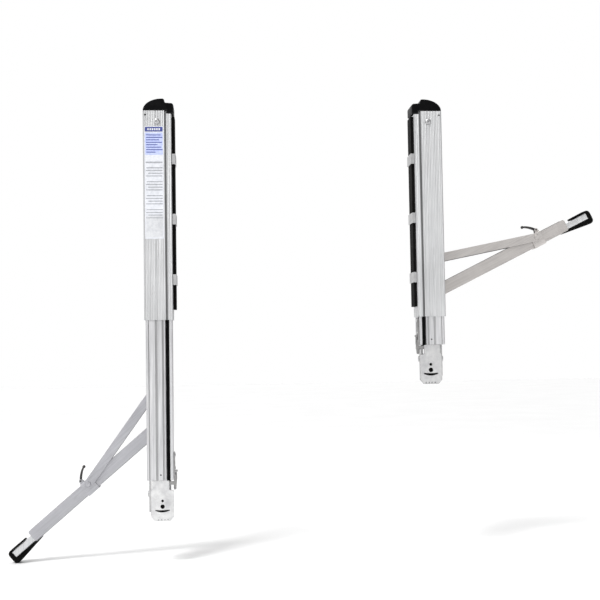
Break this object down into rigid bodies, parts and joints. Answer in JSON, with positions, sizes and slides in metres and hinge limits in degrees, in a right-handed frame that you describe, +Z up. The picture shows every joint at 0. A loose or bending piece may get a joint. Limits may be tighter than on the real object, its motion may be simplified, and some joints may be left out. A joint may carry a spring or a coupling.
{
  "type": "ladder stabilizer",
  "caption": "Pair of clamp-on ladder levellers: a sliding leg in each extruded housing, a toothed swivel shoe, a foot lock and a braced telescoping outrigger.",
  "frame": {"origin": "midway between the ladder's rails, level with the middle rail blocks, in the middle of the housings' depth", "axes": "+X across the ladder to the right, +Y towards the wall, +Z up the ladder"},
  "size_m": [1.1529, 0.0884, 0.876],
  "materials": {
    "housing_aluminium": "fluted mill finish, satin",
    "leg_aluminium": "drawn extrusion, satin",
    "arm_aluminium": "drawn channel, dull satin",
    "bright_steel": "zinc plated",
    "shoe_steel": "bright zinc plate",
    "dark_steel": "dark oiled",
    "black_plastic": "moulded, satin",
    "black_rubber": "matt",
    "label_print": "printed film"
  },
  "bodies": {
    "housings": {"housing_left": "housing_aluminium", "top_cap_left": "black_plastic", "stop_bolt_left": "bright_steel", "backing_strip_left": "black_rubber", "rail_block_top_left": "bright_steel", "rail_block_mid_left": "bright_steel", "rail_block_low_left": "bright_steel", "lock_rack_left": "dark_steel", "housing_right": "housing_aluminium", "top_cap_right": "black_plastic", "stop_bolt_right": "bright_steel", "backing_strip_right": "black_rubber", "rail_block_top_right": "bright_steel", "rail_block_mid_right": "bright_steel", "rail_block_low_right": "bright_steel", "lock_rack_right": "dark_steel"},
    "leg_left": {"leg_left": "leg_aluminium", "leg_top_plug_left": "black_plastic", "lock_spring_left": "bright_steel", "lock_plate_left": "bright_steel", "lever_pin_left": "bright_steel", "foot_yoke_left": "bright_steel", "shoe_bolt_left": "bright_steel", "shoe_nut_left": "bright_steel", "outrigger_bracket_left": "leg_aluminium", "arm_pin_left": "bright_steel", "strut_pin_left": "bright_steel"},
    "lock_rod_left": {"lock_rod_left": "black_plastic"},
    "lock_lever_left": {"lock_lever_left": "bright_steel"},
    "lock_pawl_left": {"lock_pawl_left": "dark_steel"},
    "shoe_left": {"shoe_left": "shoe_steel"},
    "arm_left": {"outrigger_arm_left": "arm_aluminium"},
    "collar_left": {"collar_left": "bright_steel"},
    "strut_left": {"strut_left": "arm_aluminium"},
    "latch_left": {"latch_lever_left": "dark_steel"},
    "tube_left": {"inner_tube_left": "housing_aluminium", "rubber_foot_left": "black_rubber"},
    "leg_right": {"leg_right": "leg_aluminium", "leg_top_plug_right": "black_plastic", "lock_spring_right": "bright_steel", "lock_plate_right": "bright_steel", "lever_pin_right": "bright_steel", "foot_yoke_right": "bright_steel", "shoe_bolt_right": "bright_steel", "shoe_nut_right": "bright_steel", "outrigger_bracket_right": "leg_aluminium", "arm_pin_right": "bright_steel", "strut_pin_right": "bright_steel"},
    "lock_rod_right": {"lock_rod_right": "black_plastic"},
    "lock_lever_right": {"lock_lever_right": "bright_steel"},
    "lock_pawl_right": {"lock_pawl_right": "dark_steel"},
    "shoe_right": {"shoe_right": "shoe_steel"},
    "arm_right": {"outrigger_arm_right": "arm_aluminium"},
    "collar_right": {"collar_right": "bright_steel"},
    "strut_right": {"strut_right": "arm_aluminium"},
    "latch_right": {"latch_lever_right": "dark_steel"},
    "tube_right": {"inner_tube_right": "housing_aluminium", "rubber_foot_right": "black_rubber"}
  },
  "joints": [
    {"name": "leg_slide_left", "type": "slide", "parent": "housings", "child": "leg_left", "axis": [0, 0, -1], "range_m": [-0.246, 0.02]},
    {"name": "arm_hinge_left", "type": "hinge", "parent": "leg_left", "child": "arm_left", "pos_m": [-0.267, 0.0412, -0.394], "axis": [0, 1, 0], "range_deg": [-12, 26]},
    {"name": "collar_slide_left", "type": "slide", "parent": "arm_left", "child": "collar_left", "axis": [-0.7615, 0, -0.6481], "range_m": [-0.012, 0.025]},
    {"name": "strut_hinge_left", "type": "hinge", "parent": "collar_left", "child": "strut_left", "pos_m": [-0.39926, 0.0412, -0.5], "axis": [0, 1, 0], "range_deg": [-5, 3]},
    {"name": "latch_hinge_left", "type": "hinge", "parent": "collar_left", "child": "latch_left", "pos_m": [-0.41481, 0.0412, -0.49485], "axis": [0, -1, 0], "range_deg": [0, 30], "stiffness_Nm_per_rad": 0.05, "springref_deg": -11.46},
    {"name": "tube_slide_left", "type": "slide", "parent": "arm_left", "child": "tube_left", "axis": [-0.7615, 0, -0.6481], "range_m": [-0.0017, 0.05]},
    {"name": "shoe_hinge_left", "type": "hinge", "parent": "leg_left", "child": "shoe_left", "pos_m": [-0.2565, 0.005, -0.518], "axis": [1, 0, 0], "range_deg": [0, 90]},
    {"name": "lever_hinge_left", "type": "hinge", "parent": "leg_left", "child": "lock_lever_left", "pos_m": [-0.2332, -0.0135, -0.496], "axis": [0, 1, 0], "range_deg": [0, 7], "stiffness_Nm_per_rad": 0.5, "springref_deg": -11.46},
    {"name": "rod_slide_left", "type": "slide", "parent": "leg_left", "child": "lock_rod_left", "axis": [0, 0, 1], "range_m": [0, 0.0018], "deforming": ["lock_spring_left"]},
    {"name": "pawl_hinge_left", "type": "hinge", "parent": "leg_left", "child": "lock_pawl_left", "pos_m": [-0.242, -0.0115, -0.0795], "axis": [0, 1, 0], "range_deg": [0, 26]},
    {"name": "leg_slide_right", "type": "slide", "parent": "housings", "child": "leg_right", "axis": [0, 0, -1], "range_m": [0, 0.266]},
    {"name": "arm_hinge_right", "type": "hinge", "parent": "leg_right", "child": "arm_right", "pos_m": [0.267, 0.0412, -0.148], "axis": [0, -1, 0], "range_deg": [-20, 14]},
    {"name": "collar_slide_right", "type": "slide", "parent": "arm_right", "child": "collar_right", "axis": [0.8965, 0, 0.4431], "range_m": [-0.026, 0.019]},
    {"name": "strut_hinge_right", "type": "hinge", "parent": "collar_right", "child": "strut_right", "pos_m": [0.48578, 0.0412, -0.0343], "axis": [0, -1, 0], "range_deg": [-4, 3]},
    {"name": "latch_hinge_right", "type": "hinge", "parent": "collar_right", "child": "latch_right", "pos_m": [0.48719, 0.0412, -0.01798], "axis": [0, 1, 0], "range_deg": [0, 30], "stiffness_Nm_per_rad": 0.05, "springref_deg": -11.46},
    {"name": "tube_slide_right", "type": "slide", "parent": "arm_right", "child": "tube_right", "axis": [0.8965, 0, 0.4431], "range_m": [-0.0017, 0.05]},
    {"name": "shoe_hinge_right", "type": "hinge", "parent": "leg_right", "child": "shoe_right", "pos_m": [0.2565, 0.005, -0.272], "axis": [1, 0, 0], "range_deg": [0, 90]},
    {"name": "lever_hinge_right", "type": "hinge", "parent": "leg_right", "child": "lock_lever_right", "pos_m": [0.2332, -0.0135, -0.25], "axis": [0, -1, 0], "range_deg": [0, 7], "stiffness_Nm_per_rad": 0.5, "springref_deg": -11.46},
    {"name": "rod_slide_right", "type": "slide", "parent": "leg_right", "child": "lock_rod_right", "axis": [0, 0, 1], "range_m": [0, 0.0018], "deforming": ["lock_spring_right"]},
    {"name": "pawl_hinge_right", "type": "hinge", "parent": "leg_right", "child": "lock_pawl_right", "pos_m": [0.242, -0.0115, 0.1665], "axis": [0, -1, 0], "range_deg": [0, 26]}
  ],
  "couplings": [
    {"joint": "collar_slide_left", "follows": "arm_hinge_left", "m_per_rad": 0.051},
    {"joint": "strut_hinge_left", "follows": "arm_hinge_left", "ratio": -0.16},
    {"joint": "rod_slide_left", "follows": "lever_hinge_left", "m_per_rad": 0.0135},
    {"joint": "pawl_hinge_left", "follows": "lever_hinge_left", "ratio": 3.6},
    {"joint": "collar_slide_right", "follows": "arm_hinge_right", "m_per_rad": 0.07},
    {"joint": "strut_hinge_right", "follows": "arm_hinge_right", "ratio": 0.15},
    {"joint": "rod_slide_right", "follows": "lever_hinge_right", "m_per_rad": 0.0135},
    {"joint": "pawl_hinge_right", "follows": "lever_hinge_right", "ratio": 3.6}
  ]
}
